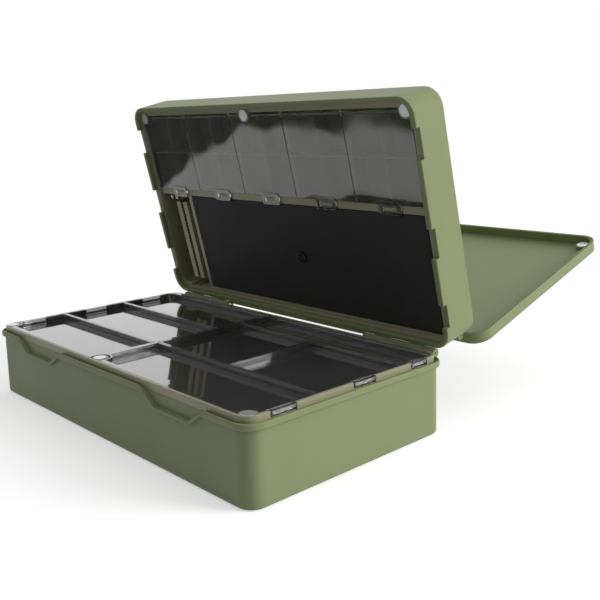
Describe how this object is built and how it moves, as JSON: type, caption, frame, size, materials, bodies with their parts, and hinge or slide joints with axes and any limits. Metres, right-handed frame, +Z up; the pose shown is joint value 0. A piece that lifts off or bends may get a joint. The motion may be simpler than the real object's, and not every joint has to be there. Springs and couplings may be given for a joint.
{
  "type": "tackle box",
  "caption": "Three-tier hinged plastic tackle box, opened out: deep base with dished smoke lids, upright middle tray with flat lids, rig board and comb, and shallow top lid",
  "frame": {"origin": "middle of the base's flat underside", "axes": "X left to right along the hinges, Y from the front to the back, Z up"},
  "size_m": [0.36, 0.4269, 0.2601],
  "materials": {
    "shell": "satin moulded grey-green",
    "frame": "satin moulded khaki",
    "smoke": "clear smoke-tinted plastic",
    "foam": "fine closed-cell foam",
    "dark": "smooth black",
    "steel": "drawn wire",
    "magnet": "nickel plated"
  },
  "bodies": {
    "base": {"base_tub": "shell", "base_frame": "frame", "base_centre_wall": "frame", "base_left_dividers": "frame", "base_right_dividers": "frame", "base_cross_divider": "frame", "base_magnets": "magnet", "tray_hinge_pins": "steel"},
    "lid_left_front": {"base_lid_left_front": "smoke"},
    "lid_left_middle": {"base_lid_left_middle": "smoke"},
    "lid_left_rear": {"base_lid_left_rear": "smoke"},
    "lid_right_front": {"base_lid_right_front": "smoke"},
    "lid_right_middle": {"base_lid_right_middle": "smoke"},
    "lid_right_rear": {"base_lid_right_rear": "smoke"},
    "tray": {"tray_shell": "shell", "tray_web": "shell", "tray_frame": "frame", "strip_cells": "frame", "rig_comb": "frame", "comb_bracket": "frame", "hook_pegs": "steel", "tray_lower_magnets": "magnet", "tray_top_frame": "frame", "tray_upper_magnets": "magnet", "lid_hinge_pins": "steel"},
    "flat_lid_1": {"strip_lid_1": "smoke"},
    "flat_lid_2": {"strip_lid_2": "smoke"},
    "flat_lid_3": {"strip_lid_3": "smoke"},
    "flat_lid_4": {"strip_lid_4": "smoke"},
    "flat_lid_5": {"strip_lid_5": "smoke"},
    "board": {"rig_board": "foam", "rig_board_knob": "dark"},
    "top": {"top_lid": "shell", "lid_magnets": "magnet"}
  },
  "joints": [
    {"name": "lid_left_front_hinge", "type": "hinge", "parent": "base", "child": "lid_left_front", "pos_m": [-0.0187, 0, 0.06015], "axis": [0, 1, 0], "range_deg": [0, 90]},
    {"name": "lid_left_middle_hinge", "type": "hinge", "parent": "base", "child": "lid_left_middle", "pos_m": [-0.0187, 0, 0.06015], "axis": [0, 1, 0], "range_deg": [0, 90]},
    {"name": "lid_left_rear_hinge", "type": "hinge", "parent": "base", "child": "lid_left_rear", "pos_m": [-0.0187, 0, 0.06015], "axis": [0, 1, 0], "range_deg": [0, 22]},
    {"name": "lid_right_front_hinge", "type": "hinge", "parent": "base", "child": "lid_right_front", "pos_m": [-0.0151, 0, 0.06015], "axis": [0, -1, 0], "range_deg": [0, 90]},
    {"name": "lid_right_middle_hinge", "type": "hinge", "parent": "base", "child": "lid_right_middle", "pos_m": [-0.0151, 0, 0.06015], "axis": [0, -1, 0], "range_deg": [0, 70]},
    {"name": "lid_right_rear_hinge", "type": "hinge", "parent": "base", "child": "lid_right_rear", "pos_m": [-0.0151, 0, 0.06015], "axis": [0, -1, 0], "range_deg": [0, 13]},
    {"name": "tray_hinge", "type": "hinge", "parent": "base", "child": "tray", "pos_m": [0, 0.1023, 0.0577], "axis": [-1, 0, 0], "range_deg": [-76.6, 0]},
    {"name": "top_lid_hinge", "type": "hinge", "parent": "tray", "child": "top", "pos_m": [0, 0.13484, 0.06524], "axis": [-1, 0, 0], "range_deg": [-85.8, 0]},
    {"name": "flat_lid_1_hinge", "type": "hinge", "parent": "tray", "child": "flat_lid_1", "pos_m": [-0.13792, 0.06592, 0.24256], "axis": [-1, 0, 0], "range_deg": [0, 110]},
    {"name": "flat_lid_2_hinge", "type": "hinge", "parent": "tray", "child": "flat_lid_2", "pos_m": [-0.06896, 0.06592, 0.24256], "axis": [-1, 0, 0], "range_deg": [0, 110]},
    {"name": "flat_lid_3_hinge", "type": "hinge", "parent": "tray", "child": "flat_lid_3", "pos_m": [0, 0.06592, 0.24256], "axis": [-1, 0, 0], "range_deg": [0, 110]},
    {"name": "flat_lid_4_hinge", "type": "hinge", "parent": "tray", "child": "flat_lid_4", "pos_m": [0.06896, 0.06592, 0.24256], "axis": [-1, 0, 0], "range_deg": [0, 110]},
    {"name": "flat_lid_5_hinge", "type": "hinge", "parent": "tray", "child": "flat_lid_5", "pos_m": [0.13792, 0.06592, 0.24256], "axis": [-1, 0, 0], "range_deg": [0, 110]},
    {"name": "board_lift_out", "type": "slide", "parent": "tray", "child": "board", "axis": [0, -0.9742, -0.2258], "range_m": [0, 0.006]}
  ]
}
